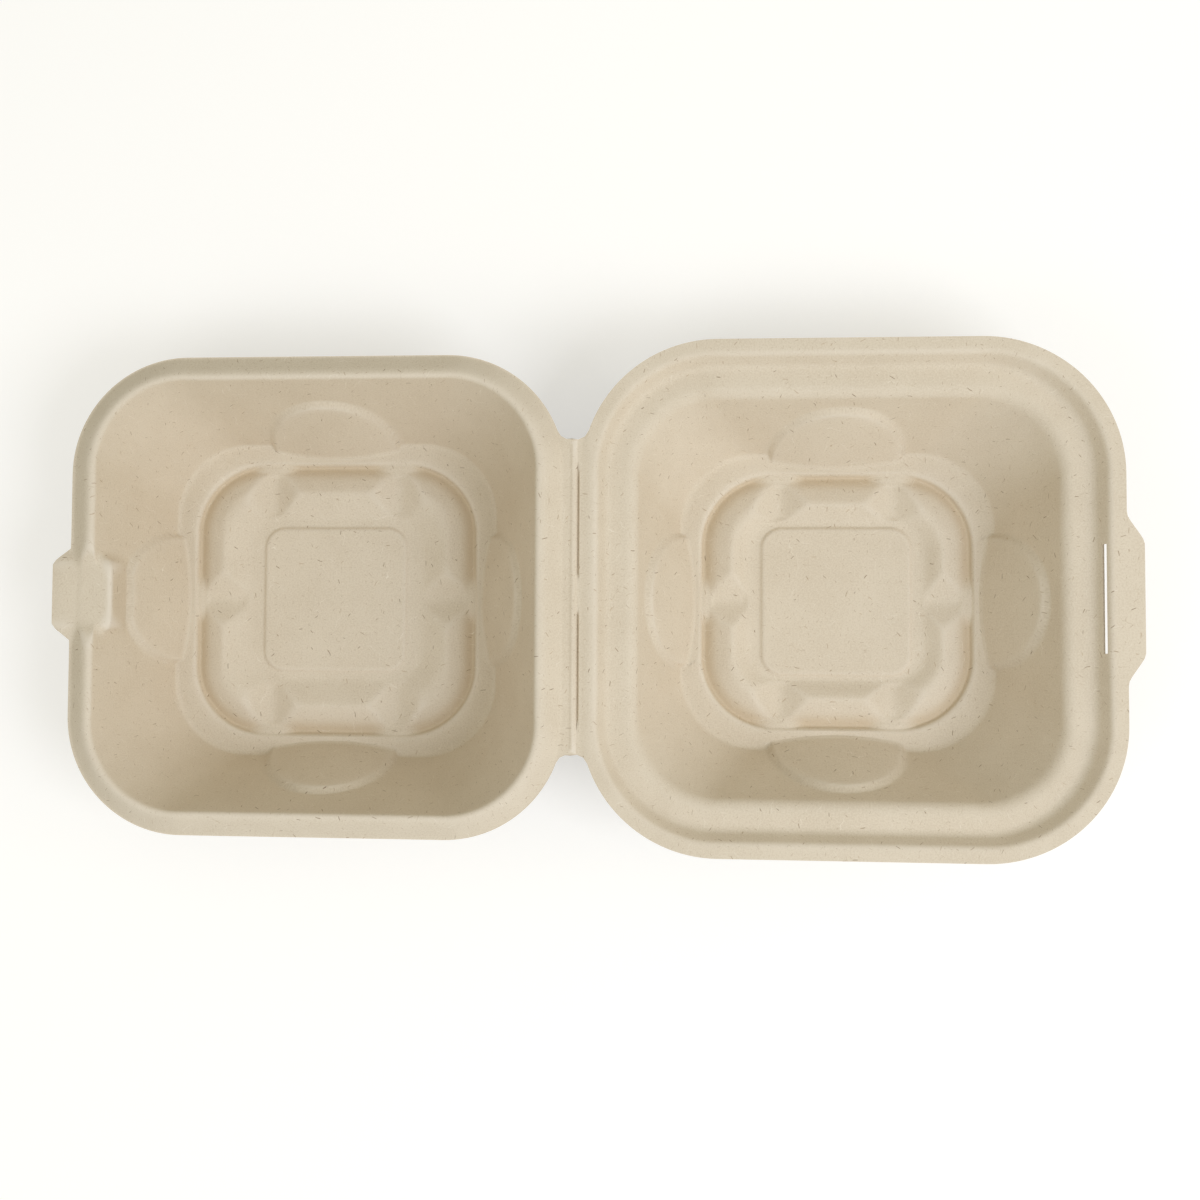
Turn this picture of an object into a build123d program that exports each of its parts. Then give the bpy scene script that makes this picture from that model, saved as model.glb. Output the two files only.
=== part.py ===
from build123d import *
import os
from dataclasses import dataclass
from math import atan2, degrees, hypot

# A moulded plant-fibre burger box, lying open with its inside up. All sizes are in millimetres.
# X runs across the fold from the lid to the base, Y runs along the fold, and Z is up.
# Heights are first counted from the rim plane, which is the top of the base's flange and of
# the lid's lip. The last step lowers everything onto its feet, with the origin under the middle.

# Sheet and fold
SHEET = 0.8
CREASE_GAP = 0.2
FOLD_MARGIN = 0.9
FOLD_PAST_CORNER = 10.4
NOTCH_RADIUS = 3.8
RIB_HEIGHT = 0.4
RIB_WIDTH = 1.8
RIB_CREST = 0.6
RIB_FROM_CREASE = 1.9
DIP_DEPTH = 0.45
DIP_FLAT = 1.4
DIP_REACH = 3.6

# Base rim: an outer flange, a step down and a flat ledge inside it
BASE_LENGTH = 156.4
BASE_WIDTH = 152.4
BASE_CORNER = 40.0
FLANGE_WIDTH = 4.5
STEP_RUN = 3.3
STEP_DROP = 5.0
LEDGE_WIDTH = 8.0

# Thumb flare on the base's flange, in front of the slit
FLARE_REACH = 4.9
FLARE_HALF_LENGTH = 15.5
FLARE_RAMP = 8.5
FLARE_RADIUS = 6.0

# Lid rim: a thin lip that lies on the flange, and a bead that nests inside the step
LIP_INSET_X = 3.0
LIP_INSET_Y = 4.0
LID_CORNER = 35.5
NEST_CLEARANCE = 1.4
BEAD_HEIGHT = 4.5
BEAD_RUN = 3.2
BEAD_CREST = 2.2

# Lock tab on the lid, and the slit in the base's step that takes it
TAB_HEIGHT = 2.1
TAB_HALF_WIDTH = 8.9
TAB_FLANK_RUN = 5.0
TAB_REACH = 5.0
TAB_TIP_CORNER = 4.2
TAB_TIP_RADIUS = 1.5
TAB_INNER_SETBACK = 4.4
SLIT_END_CLEARANCE = 1.9
SLIT_CLEARANCE = 0.35

# Cavities: both halves are equally deep
DEPTH = 36.0
RING_RISE = 1.8
PAD_RISE = 3.3
WELL_RISE = 0.8
PANEL_RISE = 0.9
WALL_RUN_BASE = 14.5
WALL_RUN_LID = 15.3
FOOT_CORNER = 23.5
SCALLOP_HALF_WIDTH = 20.5
SCALLOP_HEIGHT_BASE = 22.6
SCALLOP_HEIGHT_LID = 25.6
SCALLOP_PRESS = 4.2
SCALLOP_LEDGE = 1.0
SCALLOP_BOW_RADIUS = 80.0
RING_WIDTH = 8.3
MOAT_CORNER = 21.0
MOAT_SLOPE = 1.6
MOAT_FLAT = 1.2
PAD_SLOPE = 5.4
PAD_CREST = 1.4
PAD_INNER_SLOPE_BASE = 4.6
PAD_INNER_SLOPE_LID = 7.2
PAD_INNER_CORNER = 10.0
CHANNEL_HALF_WIDTH = 9.2
CHANNEL_RISE = 0.7
CHANNEL_OFFSET_BASE = 17.4
CHANNEL_OFFSET_LID = 20.2
PANEL_HALF = 23.2
PANEL_CORNER = 6.0
PANEL_SLOPE = 1.2

# How far the shaping blocks reach past what they shape, and how near counts as meeting
MARGIN = 6.0
BELOW = 20.0
ABOVE = 30.0
MEETS = 0.01

# Worked out from the sizes above
REACH = 4 * BASE_LENGTH
FOLD_HALF_SPAN = BASE_LENGTH / 2 + FOLD_MARGIN
FOLD_HALF_LENGTH = BASE_WIDTH / 2 - BASE_CORNER + FOLD_PAST_CORNER
FLANGE_X = BASE_LENGTH / 2 - FLANGE_WIDTH
FLANGE_Y = BASE_WIDTH / 2 - FLANGE_WIDTH
FLANGE_CORNER = BASE_CORNER - FLANGE_WIDTH
LIP_X = BASE_LENGTH / 2 - LIP_INSET_X
LIP_Y = BASE_WIDTH / 2 - LIP_INSET_Y
BEAD_X = FLANGE_X - NEST_CLEARANCE
BEAD_Y = FLANGE_Y - NEST_CLEARANCE
BEAD_CORNER = LID_CORNER - (LIP_X - BEAD_X)


@dataclass(frozen=True)
class Cavity:
    """Sizes of one half's cavity: the mouth of its walls, their foot and the floor relief."""

    mouth_x: float
    mouth_y: float
    mouth_corner: float
    mouth_z: float
    wall_run: float
    scallop_height: float
    inner_slope: float
    channel_offset: float

    @property
    def ring_z(self):
        """Height of the flat ring at the foot of the walls."""
        return RING_RISE - DEPTH

    @property
    def foot_x(self):
        """Half length of the walls' foot."""
        return self.mouth_x - self.wall_run

    @property
    def foot_y(self):
        """Half width of the walls' foot."""
        return self.mouth_y - self.wall_run

    @property
    def slope(self):
        """How far the walls lean out for each millimetre of height."""
        return self.wall_run / (self.mouth_z - self.ring_z)


BASE = Cavity(
    mouth_x=FLANGE_X - STEP_RUN - LEDGE_WIDTH,
    mouth_y=FLANGE_Y - STEP_RUN - LEDGE_WIDTH,
    mouth_corner=FLANGE_CORNER - STEP_RUN - LEDGE_WIDTH,
    mouth_z=-STEP_DROP,
    wall_run=WALL_RUN_BASE,
    scallop_height=SCALLOP_HEIGHT_BASE,
    inner_slope=PAD_INNER_SLOPE_BASE,
    channel_offset=CHANNEL_OFFSET_BASE,
)
LID = Cavity(
    mouth_x=BEAD_X - BEAD_RUN - BEAD_CREST,
    mouth_y=BEAD_Y - BEAD_RUN - BEAD_CREST,
    mouth_corner=BEAD_CORNER - BEAD_RUN - BEAD_CREST,
    mouth_z=BEAD_HEIGHT,
    wall_run=WALL_RUN_LID,
    scallop_height=SCALLOP_HEIGHT_LID,
    inner_slope=PAD_INNER_SLOPE_LID,
    channel_offset=CHANNEL_OFFSET_LID,
)


def ring(half_x, half_y, corner, z):
    """A rounded rectangle at height z."""
    return Pos(0, 0, z) * RectangleRounded(2 * half_x, 2 * half_y, corner)


def frustum(half_x, half_y, corner, z, run, rise, end_corner=None):
    """A block whose rounded-rectangle section moves out by run over rise, from height z."""
    far_corner = corner + run if end_corner is None else end_corner
    start = ring(half_x, half_y, corner, z)
    end = ring(half_x + run, half_y + run, far_corner, z + rise)
    return loft([start, end], ruled=True)


def well(c, o):
    """The room between the walls, grown by o into the sheet, and carried on above the mouth."""
    side = o * hypot(1, c.slope)
    floor_z = c.ring_z - o
    foot_x = c.foot_x + side - c.slope * o
    foot_y = c.foot_y + side - c.slope * o
    run = c.mouth_x + side - foot_x
    walls = frustum(foot_x, foot_y, FOOT_CORNER, floor_z, run, c.mouth_z - floor_z, c.mouth_corner + side)
    return walls + extrude(ring(c.mouth_x + side, c.mouth_y + side, c.mouth_corner + side, c.mouth_z), MARGIN)


def scallop(c, foot, o):
    """One thumb-shaped panel pressed into the wall that faces +X, thinned by o."""
    apex_z = c.ring_z + c.scallop_height
    wall_at_apex = foot + c.slope * c.scallop_height
    panel_foot = foot - SCALLOP_PRESS
    lean = (wall_at_apex - SCALLOP_LEDGE - panel_foot) / c.scallop_height
    arch = Plane.YZ * (
        Pos(0, c.ring_z) * Ellipse(SCALLOP_HALF_WIDTH - o, c.scallop_height - o)
    )
    arch = extrude(arch, foot + 2 * MARGIN + c.wall_run)
    axis_x = panel_foot + SCALLOP_BOW_RADIUS * hypot(1, lean)
    tilt = degrees(atan2(lean, 1))
    bow = Pos(axis_x, 0, c.ring_z) * Rot(0, tilt, 0) * Cylinder(SCALLOP_BOW_RADIUS - o, REACH)
    below = Pos(0, 0, apex_z) * Box(REACH, REACH, 2 * c.scallop_height + 4 * MARGIN)
    return arch & bow & below


def scallops(c, o):
    """The four pressed panels, one in the middle of each wall."""
    long_side = scallop(c, c.foot_x, o)
    short_side = scallop(c, c.foot_y, o)
    return [
        long_side,
        Rot(0, 0, 180) * long_side,
        Rot(0, 0, 90) * short_side,
        Rot(0, 0, 270) * short_side,
    ]


def channel(length, floor_z):
    """A V groove along X that parts two pads, deepest along its middle."""
    top = PAD_RISE - CHANNEL_RISE
    profile = Polyline(
        (0, floor_z + CHANNEL_RISE),
        (-2 * CHANNEL_HALF_WIDTH, floor_z + CHANNEL_RISE + 2 * top),
        (2 * CHANNEL_HALF_WIDTH, floor_z + CHANNEL_RISE + 2 * top),
        close=True,
    )
    return extrude(Plane.YZ * make_face(profile), length)


def island(c, o):
    """The six floor pads and the raised middle panel inside the moat, lowered by o."""
    floor_z = -DEPTH - o
    edge_x = c.foot_x - RING_WIDTH - MOAT_FLAT
    edge_y = c.foot_y - RING_WIDTH - MOAT_FLAT
    corner = MOAT_CORNER - MOAT_FLAT
    pads = frustum(edge_x, edge_y, corner, floor_z, -PAD_SLOPE, PAD_RISE)
    inner_x = edge_x - PAD_SLOPE - PAD_CREST - c.inner_slope
    inner_y = edge_y - PAD_SLOPE - PAD_CREST - c.inner_slope
    pads -= frustum(
        inner_x, inner_y, PAD_INNER_CORNER, floor_z + WELL_RISE, c.inner_slope, PAD_RISE - WELL_RISE
    )
    groove = channel(edge_x + MARGIN, floor_z)
    side_groove = channel(edge_y + MARGIN, floor_z)
    panel_edge = PANEL_HALF + PANEL_SLOPE
    keep = extrude(ring(inner_x, inner_y, PAD_INNER_CORNER, floor_z), PAD_RISE)
    floor = extrude(ring(inner_x, inner_y, PAD_INNER_CORNER, floor_z), WELL_RISE)
    pads -= keep
    for turn in (0, 180):
        pads -= Rot(0, 0, turn) * groove
    for turn in (90, 270):
        for side in (-1, 1):
            pads -= Pos(side * c.channel_offset, 0, 0) * Rot(0, 0, turn) * side_groove
    panel = frustum(
        panel_edge, panel_edge, PANEL_CORNER + PANEL_SLOPE, floor_z + WELL_RISE, -PANEL_SLOPE, PANEL_RISE
    )
    return pads + floor + panel


def cavity(c, o):
    """The whole room inside one half, down to its floor, grown by o into the sheet."""
    moat_x = c.foot_x - RING_WIDTH
    moat_y = c.foot_y - RING_WIDTH
    pit = frustum(moat_x, moat_y, MOAT_CORNER, -DEPTH - o, MOAT_SLOPE, RING_RISE)
    room = well(c, o) + pit
    for bump in scallops(c, o):
        room -= bump
    return room - island(c, o)


def recess(o):
    """The stepped seat inside the base's flange, grown by o into the sheet."""
    lean = STEP_RUN / STEP_DROP
    side = o * hypot(1, lean)
    foot_x = FLANGE_X - STEP_RUN + side - lean * o
    foot_y = FLANGE_Y - STEP_RUN + side - lean * o
    corner = FLANGE_CORNER - STEP_RUN + side - lean * o
    return frustum(foot_x, foot_y, corner, -STEP_DROP - o, lean * (STEP_DROP + o), STEP_DROP + o)


def bead(o):
    """The raised bead round the lid, thinned by o, standing on the lip's plane."""
    lean = BEAD_RUN / BEAD_HEIGHT
    side = o * (hypot(1, lean) - lean)
    return frustum(BEAD_X - side, BEAD_Y - side, BEAD_CORNER - side, -o, -BEAD_RUN, BEAD_HEIGHT)


def tab_section(half_width, flank, z, rise):
    """A four-sided section across the tab: half_width at height z, wider by flank at z + rise."""
    return make_face(
        Polyline(
            (-half_width, z),
            (half_width, z),
            (half_width + flank, z + rise),
            (-half_width - flank, z + rise),
            close=True,
        )
    )


def tab_block(o):
    """What carries the lock tab's plate, thinned by o: it falls away to the lip on both sides."""
    top_z = TAB_HEIGHT - o
    lean = TAB_FLANK_RUN / TAB_HEIGHT
    side = o * (hypot(1, lean) - lean)
    foot = TAB_HALF_WIDTH + TAB_FLANK_RUN - side
    section = tab_section(foot, -TAB_FLANK_RUN, -o, TAB_HEIGHT)
    inner = LID.mouth_x - TAB_INNER_SETBACK + o
    outer = LIP_X + TAB_REACH + MARGIN
    block = extrude(Plane.YZ * section, -(outer - inner))
    block = Pos(-inner, 0, 0) * block
    stem_drop = TAB_INNER_SETBACK / LID.slope + MARGIN
    stem = Pos(-inner, 0, top_z) * Box(
        TAB_INNER_SETBACK + BEAD_CREST,
        2 * (foot - TAB_FLANK_RUN),
        stem_drop,
        align=(Align.MAX, Align.CENTER, Align.MAX),
    )
    return block + stem


def tab_gap(o):
    """The trough above the tab's plate, cut through the bead and grown by o."""
    rise = BEAD_HEIGHT - TAB_HEIGHT
    lean = TAB_FLANK_RUN / rise
    side = o * (hypot(1, lean) - lean)
    foot = TAB_HALF_WIDTH + side
    section = tab_section(foot, 2 * TAB_FLANK_RUN, TAB_HEIGHT - o, 2 * rise)
    outer = LIP_X + TAB_REACH + 2 * MARGIN
    inner = LID.mouth_x - TAB_INNER_SETBACK - BEAD_CREST
    return Pos(-inner, 0, 0) * extrude(Plane.YZ * section, -(outer - inner))


def base_outline():
    """Flat outline of the base with its thumb flare, centred on the base."""
    reach = BASE_LENGTH / 2 + FLARE_REACH
    flare_end = FLARE_HALF_LENGTH + FLARE_RAMP
    flare = make_face(
        Polyline(
            (reach, FLARE_HALF_LENGTH),
            (BASE_LENGTH / 2, flare_end),
            (0, flare_end),
            (0, -flare_end),
            (BASE_LENGTH / 2, -flare_end),
            (reach, -FLARE_HALF_LENGTH),
            close=True,
        )
    )
    outline = RectangleRounded(BASE_LENGTH, BASE_WIDTH, BASE_CORNER) + flare
    bends = [v for v in outline.vertices() if v.X > 0 and abs(v.Y) < flare_end + MEETS]
    return fillet(bends, FLARE_RADIUS)


def lid_outline():
    """Flat outline of the lid with its lock tab, centred on the lid."""
    root = TAB_HALF_WIDTH + TAB_FLANK_RUN
    tip_x = -LIP_X - TAB_REACH
    tip_y = root - TAB_TIP_CORNER
    tab = make_face(
        Polyline(
            (0, root),
            (-LIP_X, root),
            (tip_x, tip_y),
            (tip_x, -tip_y),
            (-LIP_X, -root),
            (0, -root),
            close=True,
        )
    )
    outline = RectangleRounded(2 * LIP_X, 2 * LIP_Y, LID_CORNER) + tab
    tips = [v for v in outline.vertices() if v.X < tip_x + MEETS]
    return fillet(tips, TAB_TIP_RADIUS)


def sheet_outline():
    """Flat outline of the whole open box: both halves, the strip between them and its notches."""
    strip = Rectangle(FOLD_HALF_SPAN, 2 * FOLD_HALF_LENGTH)
    whole = Pos(FOLD_HALF_SPAN, 0) * base_outline() + Pos(-FOLD_HALF_SPAN, 0) * lid_outline() + strip
    notches = [
        v
        for v in whole.vertices()
        if abs(abs(v.Y) - FOLD_HALF_LENGTH) < MEETS and abs(v.X) < FOLD_HALF_SPAN / 2
    ]
    return fillet(notches, NOTCH_RADIUS)


def half_outline(side):
    """The part of the whole outline on one side of the crease: 1 for the base, -1 for the lid."""
    window = Pos(side * (REACH + CREASE_GAP) / 2, 0) * Rectangle(REACH, REACH)
    return sheet_outline() & window


def fold_rib(o):
    """The low rib beside the crease on the lid's side, lowered by o."""
    foot = RIB_WIDTH / 2
    crest = RIB_CREST / 2
    top_z = RIB_HEIGHT - o
    section = make_face(Polyline((-foot, -o), (foot, -o), (crest, top_z), (-crest, top_z), close=True))
    rib = extrude(Plane.XZ * section, FOLD_HALF_LENGTH + MARGIN, both=True)
    return Pos(-RIB_FROM_CREASE, 0, 0) * rib


def fold_dip(o):
    """The shallow dip beside the crease on the base's side, which takes the rib when shut."""
    floor_z = -DIP_DEPTH - o
    section = make_face(
        Polyline(
            (-MARGIN, MARGIN),
            (-MARGIN, floor_z),
            (DIP_FLAT, floor_z),
            (DIP_REACH, -o),
            (DIP_REACH, MARGIN),
            close=True,
        )
    )
    return extrude(Plane.XZ * section, FOLD_HALF_LENGTH + MARGIN, both=True)


def slab(outline, o):
    """Everything below the rim plane inside an outline, with its top lowered by o."""
    return Pos(0, 0, -DEPTH - BELOW) * extrude(outline, DEPTH + BELOW - o)


def wide_slab(o):
    """A slab that reaches past both halves on every side."""
    depth = DEPTH + BELOW + MARGIN
    return Pos(0, 0, -depth) * extrude(Rectangle(REACH, REACH), depth - o)


def make_base():
    """The base: what lies between its upper face and the same face set down by one sheet."""
    def under(blank, o):
        spot = Pos(FOLD_HALF_SPAN, 0, 0)
        return blank - fold_dip(o) - spot * recess(o) - spot * cavity(BASE, o)

    tray = under(slab(half_outline(1), 0), 0) - under(wide_slab(SHEET), SHEET)
    slit_z = -TAB_HEIGHT + SHEET / 2
    slit_half = TAB_HALF_WIDTH + TAB_FLANK_RUN + SLIT_END_CLEARANCE
    slit_x = FOLD_HALF_SPAN + FLANGE_X + STEP_RUN / STEP_DROP * slit_z
    slit = Pos(slit_x, 0, slit_z) * Box(2 * STEP_RUN, 2 * slit_half, SHEET + 2 * SLIT_CLEARANCE)
    return tray - slit


def make_lid():
    """The lid: bead, cavity, lock tab and fold rib, all one sheet thick."""
    def under(blank, edge, o):
        spot = Pos(-FOLD_HALF_SPAN, 0, 0)
        rim = blank + spot * bead(o) + (fold_rib(o) & edge)
        rim -= spot * cavity(LID, o)
        rim += spot * tab_block(o) & edge
        return rim - spot * tab_gap(o)

    edge = Pos(0, 0, -DEPTH - BELOW) * extrude(half_outline(-1), DEPTH + BELOW + ABOVE)
    everything = Box(2 * REACH, 2 * REACH, 2 * REACH)
    return under(slab(half_outline(-1), 0), edge, 0) - under(wide_slab(SHEET), everything, SHEET)


def on_its_feet(shape):
    """Move a finished half so that the whole box stands on Z = 0 with its middle over the origin."""
    right_end = FOLD_HALF_SPAN + BASE_LENGTH / 2 + FLARE_REACH
    left_end = -FOLD_HALF_SPAN - LIP_X - TAB_REACH
    return Pos(-(left_end + right_end) / 2, 0, DEPTH + SHEET) * shape


def main():
    """Build both halves and write them out."""
    os.makedirs("parts", exist_ok=True)
    halves = {"base_tray": make_base(), "lid": make_lid()}
    for name, shape in halves.items():
        placed = on_its_feet(shape)
        solids = placed.solids()
        print(name, "solids", len(solids), "volume", round(placed.volume, 1), placed.bounding_box())
        export_step(placed, f"parts/{name}.step")


main()
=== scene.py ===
import logging
import math
from dataclasses import dataclass, field
from enum import Enum
from typing import ClassVar, Sequence

import bpy
import numpy as np
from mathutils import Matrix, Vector


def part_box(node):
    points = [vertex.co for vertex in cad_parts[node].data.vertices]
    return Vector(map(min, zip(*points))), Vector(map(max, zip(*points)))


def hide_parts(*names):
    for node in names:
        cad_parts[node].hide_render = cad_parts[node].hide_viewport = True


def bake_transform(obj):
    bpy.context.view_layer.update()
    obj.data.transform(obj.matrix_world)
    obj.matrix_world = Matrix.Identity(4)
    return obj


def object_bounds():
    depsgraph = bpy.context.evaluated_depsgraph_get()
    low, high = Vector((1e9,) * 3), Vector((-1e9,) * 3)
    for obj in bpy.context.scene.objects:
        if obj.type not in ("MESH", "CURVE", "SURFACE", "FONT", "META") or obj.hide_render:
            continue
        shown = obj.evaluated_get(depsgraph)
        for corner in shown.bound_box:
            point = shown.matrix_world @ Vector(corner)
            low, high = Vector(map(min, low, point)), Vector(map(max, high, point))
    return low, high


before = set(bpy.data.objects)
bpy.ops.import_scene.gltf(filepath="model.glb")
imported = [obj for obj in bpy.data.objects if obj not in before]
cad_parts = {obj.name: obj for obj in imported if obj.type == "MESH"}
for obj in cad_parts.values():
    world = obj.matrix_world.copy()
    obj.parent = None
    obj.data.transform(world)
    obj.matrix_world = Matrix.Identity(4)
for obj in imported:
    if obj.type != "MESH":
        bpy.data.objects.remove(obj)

# A moulded plant-fibre burger box, lying open with its inside up. Lengths are in millimetres
# here and become metres where a mesh, a lamp or the camera is made. Each half is laid out round
# its own middle, with heights counted from the rim plane.

CAD_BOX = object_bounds()
MM = 0.001

# TINY is what rounding may add to a place, and points nearer than MERGE are one. STEEP_WALL is
# how far the sheet faces up where the painted shade on the walls is full and where it ends.
TINY = 1e-6
MERGE = 0.02
SHARP_BEND = math.radians(50)
STEEP_WALL = (0.3, 0.65)
EVEN_LINES = (0.17, 0.34, 0.5, 0.67, 0.83, 1.0)
LOG = logging.getLogger("burger_box")


class Face(Enum):
    """The two faces of the moulded sheet, with the slot that each one's finish stands in."""

    INSIDE = 0
    OUTSIDE = 1


class Segment(Enum):
    """The eight stretches of a rounded rectangle, counter-clockwise from the +X side."""

    EAST = 0
    NORTH_EAST = 1
    NORTH = 2
    NORTH_WEST = 3
    WEST = 4
    SOUTH_WEST = 5
    SOUTH = 6
    SOUTH_EAST = 7


def smooth_step(x: np.ndarray, low: float, high: float) -> np.ndarray:
    """Rise smoothly from 0 at low to 1 at high.

    Args:
        x: values to map.
        low: where the rise starts.
        high: where it ends.

    Returns:
        The mapped values, from 0 to 1.
    """
    t = np.clip((x - low) / (high - low), 0.0, 1.0)
    return t * t * (3 - 2 * t)


def soft_min(a: np.ndarray, b: np.ndarray, blend: float) -> np.ndarray:
    """The lower of two heights, rounded where they cross.

    Args:
        a: first heights.
        b: second heights.
        blend: difference of height within which the crossing is rounded.

    Returns:
        The rounded lower height.
    """
    near = np.clip(blend - np.abs(a - b), 0.0, None) / blend
    return np.minimum(a, b) - near * near * blend / 4


def soft_max(a: np.ndarray, b: np.ndarray, blend: float) -> np.ndarray:
    """The higher of two heights, rounded where they cross, as in soft_min."""
    return -soft_min(-a, -b, blend)


def soft_rise(x: np.ndarray, blend: float) -> np.ndarray:
    """Zero below 0 and x above it, with the bend rounded over blend on both sides."""
    bend = (np.clip(x, -blend, blend) + blend) ** 2 / (4 * blend)
    return np.where(x > blend, x, bend)


def spread(stops: Sequence[float], cell: float) -> np.ndarray:
    """Divide the stretches between stops into even cells.

    Args:
        stops: rising positions that are kept.
        cell: the largest cell wanted.

    Returns:
        Positions from the first stop up to, but without, the last.
    """
    parts = []
    for start, end in zip(stops[:-1], stops[1:]):
        count = max(1, math.ceil((end - start) / cell - TINY))
        parts.append(start + (end - start) * np.arange(count) / count)
    return np.concatenate(parts)


def for_each(shares: Sequence[float], count: int) -> np.ndarray:
    """The same shares in each of count columns, one row for each share."""
    return np.repeat(np.array(shares)[:, None], count, axis=1)


def along_line(line: np.ndarray, shares: np.ndarray) -> np.ndarray:
    """Points on a line of points.

    Args:
        line: the points of the line.
        shares: how far along its length each wanted point lies, from 0 to 1.

    Returns:
        The wanted points.
    """
    steps = np.linalg.norm(np.diff(line, axis=0), axis=1)
    length = np.concatenate([[0], np.cumsum(steps)])
    at = np.asarray(shares) * length[-1]
    return np.stack([np.interp(at, length, line[:, k]) for k in range(line.shape[1])], axis=-1)


def arc(centre: tuple[float, float], radius: float, start: float, end: float,
        count: int = 12) -> np.ndarray:
    """Points on an arc.

    Args:
        centre: the arc's centre.
        radius: its radius.
        start: the first angle, in radians.
        end: the last angle, in radians.
        count: how many points are wanted.

    Returns:
        The points, from the first angle to the last.
    """
    turn = np.linspace(start, end, count)
    return np.column_stack([centre[0] + radius * np.cos(turn), centre[1] + radius * np.sin(turn)])


@dataclass(frozen=True)
class Ring:
    """One contour of the moulding: a rounded rectangle at a height.

    soft is how far the bend at this contour reaches along the sheet on each side, and cell the
    length of the mesh cells on the stretch that leads to the next contour.
    """

    half_x: float
    half_y: float
    corner: float
    height: float
    soft: float = 0.0
    cell: float = 0.9

    def inset(self, by: float, height: float, soft: float = 0.0, cell: float = 0.9) -> "Ring":
        """A contour parallel to this one, moved inward, at a new height."""
        return Ring(self.half_x - by, self.half_y - by, self.corner - by, height, soft, cell)


def profile_rows(rings: Sequence[Ring], bend_cell: float = 0.62) -> np.ndarray:
    """Run a smooth profile through the contours.

    Args:
        rings: the contours from the rim inward.
        bend_cell: the longest step within a bend.

    Returns:
        Rows of half_x, half_y, corner and height.
    """
    keys = np.array([[r.half_x, r.half_y, r.corner, r.height] for r in rings])
    lengths = np.hypot(np.diff(keys[:, 0]), np.diff(keys[:, 3]))
    rows, at = [keys[0]], keys[0]
    for k in range(1, len(rings)):
        back = min(rings[k].soft, lengths[k - 1] / 2)
        bend_start = keys[k] + (keys[k - 1] - keys[k]) * back / lengths[k - 1]
        run = np.hypot(bend_start[0] - at[0], bend_start[3] - at[3])
        if run > MERGE:
            cells = max(1, math.ceil(run / rings[k - 1].cell))
            rows += [at + (bend_start - at) * i / cells for i in range(1, cells + 1)]
        at = bend_start
        if k < len(rings) - 1 and rings[k].soft > 0:
            ahead = min(rings[k].soft, lengths[k] / 2)
            bend_end = keys[k] + (keys[k + 1] - keys[k]) * ahead / lengths[k]
            cells = max(2, math.ceil((back + ahead) / bend_cell))
            for i in range(1, cells + 1):
                t = i / cells
                rows.append((1 - t) ** 2 * bend_start + 2 * t * (1 - t) * keys[k] + t * t * bend_end)
            at = bend_end
    return np.array(rows)


class Columns:
    """Where the mesh columns stand round every contour of one half."""

    OUTWARD = {
        Segment.EAST: (1, 0), Segment.NORTH: (0, 1), Segment.WEST: (-1, 0), Segment.SOUTH: (0, -1),
    }
    CORNER = {
        Segment.NORTH_EAST: (1, 1), Segment.NORTH_WEST: (-1, 1),
        Segment.SOUTH_WEST: (-1, -1), Segment.SOUTH_EAST: (1, -1),
    }

    def __init__(self, cell: float, turn_cell: float, stops: dict[Segment, Sequence[float]]) -> None:
        """Lay out the columns.

        Args:
            cell: the largest cell along a side, as a share of its half length.
            turn_cell: the largest cell round a corner, in degrees.
            stops: positions that a column has to stand on: on a side from -1 to 1, counter-
                clockwise, and on a corner from 0 to 90 degrees.
        """
        hold, reach, self.segment, self.place = [], [], [], []
        for segment in Segment:
            if segment in self.OUTWARD:
                out = self.OUTWARD[segment]
                for place in spread(stops.get(segment, (-1, 0, 1)), cell):
                    hold.append((out[0] - place * out[1], out[1] + place * out[0]))
                    reach.append(out)
                    self.segment.append(segment)
                    self.place.append(place)
            else:
                for place in spread(stops.get(segment, (0, 90)), turn_cell):
                    angle = math.radians(45 * (segment.value - 1) + place)
                    hold.append(self.CORNER[segment])
                    reach.append((math.cos(angle), math.sin(angle)))
                    self.segment.append(segment)
                    self.place.append(place)
        self.hold, self.reach = np.array(hold, float), np.array(reach, float)
        self.place = np.array(self.place)
        self.count = len(hold)

    def lay(self, rows: np.ndarray) -> np.ndarray:
        """Lay rows of half_x, half_y, corner and height out as lines of points."""
        inner = rows[:, None, :2] - rows[:, None, 2:3]
        flat = self.hold[None] * inner + self.reach[None] * rows[:, None, 2:3]
        height = np.broadcast_to(rows[:, None, 3:4], flat.shape[:2] + (1,))
        return np.concatenate([flat, height], axis=2)

    def on(self, *segments: Segment) -> np.ndarray:
        """A mask of the columns that stand on these segments."""
        return np.array([s in segments for s in self.segment])

    def run(self, first: Segment, from_place: float, last: Segment, to_place: float) -> list[int]:
        """The columns from a place on one segment counter-clockwise to a place on another.

        Args:
            first: the segment to start on.
            from_place: where on it the run starts.
            last: the segment to end on.
            to_place: where on it the run ends.

        Returns:
            The columns' numbers in order.
        """
        at = next(i for i in range(self.count)
                  if self.segment[i] is first and self.place[i] > from_place - TINY)
        chain = []
        while self.segment[at] is not last or self.place[at] < to_place + TINY:
            chain.append(at)
            at = (at + 1) % self.count
        return chain


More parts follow.
